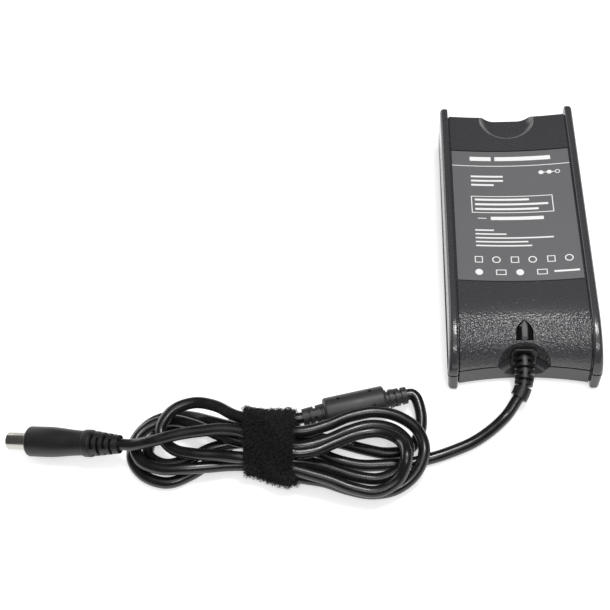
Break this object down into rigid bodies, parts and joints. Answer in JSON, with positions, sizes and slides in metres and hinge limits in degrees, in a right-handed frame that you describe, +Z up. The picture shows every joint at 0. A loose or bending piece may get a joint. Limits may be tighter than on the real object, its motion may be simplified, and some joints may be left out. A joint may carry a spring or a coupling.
{
  "type": "laptop power adapter",
  "caption": "Flat saddle-topped laptop power brick on two side rails, with a mains inlet, a slotted boot, and a bundled output cord with choke, strap and round plug",
  "frame": {"origin": "Middle of the brick's footprint, on the surface that its two side rails stand on", "axes": "+Z up; +Y along the brick towards the mains inlet, so the output cord leaves towards -Y; +X to the right seen from the cord's end with the label up"},
  "size_m": [0.2563, 0.2073, 0.028],
  "materials": {
    "case_plastic": "fine moulded texture, charcoal",
    "label_film": "satin printed film, grey",
    "window": "gloss, smoked clear",
    "inlet_plastic": "satin, black",
    "pin_metal": "nickel plated",
    "cord_jacket": "soft gloss, black",
    "boot_rubber": "satin, black",
    "overmould": "satin, black",
    "strap_fabric": "brushed hook and loop, black",
    "barrel_metal": "nickel plated, satin",
    "insulator": "matte, black",
    "ferrite": "sintered, dark grey",
    "board": "solder mask, green",
    "sheet": "matte film",
    "lamp": "diffused",
    "sleeve": "shrink sleeve, black",
    "blue_epoxy": "dipped epoxy, blue",
    "moulding": "moulded, black",
    "tape": "film tape, yellow",
    "sink": "plain sheet",
    "copper": "enamelled copper wire",
    "wire": "insulated wire"
  },
  "bodies": {
    "root": {"top_cover": "case_plastic", "bottom_case": "case_plastic", "rating_label": "label_film", "led_window": "window", "inlet_socket": "inlet_plastic", "inlet_pin_line": "pin_metal", "inlet_pin_neutral": "pin_metal", "inlet_pin_earth": "pin_metal", "plug_pin": "pin_metal", "plug_inner_contact": "pin_metal", "dc_lead": "cord_jacket", "cord_hank": "cord_jacket", "strain_relief": "boot_rubber", "ferrite_overmould": "overmould", "plug_overmould": "overmould", "tie_strap": "strap_fabric", "plug_barrel": "barrel_metal", "plug_insulator": "insulator", "ferrite_core": "ferrite", "transformer_core": "ferrite", "circuit_board": "board", "insulation_sheet": "sheet", "indicator_lamp": "lamp", "bulk_capacitor": "sleeve", "output_capacitor_1": "sleeve", "output_capacitor_2": "sleeve", "surge_varistor": "blue_epoxy", "y_capacitor": "blue_epoxy", "fuse": "moulding", "optocoupler": "moulding", "controller_chip": "moulding", "bridge_rectifier": "moulding", "switching_transistor": "moulding", "output_rectifier": "moulding", "transformer_winding": "tape", "x_capacitor": "tape", "primary_heat_sink": "sink", "secondary_heat_sink": "sink", "emi_choke": "copper", "inlet_wire_line": "wire", "inlet_wire_neutral": "wire", "inlet_wire_earth": "wire", "output_wire_positive": "wire", "output_wire_return": "wire"}
  },
  "joints": []
}
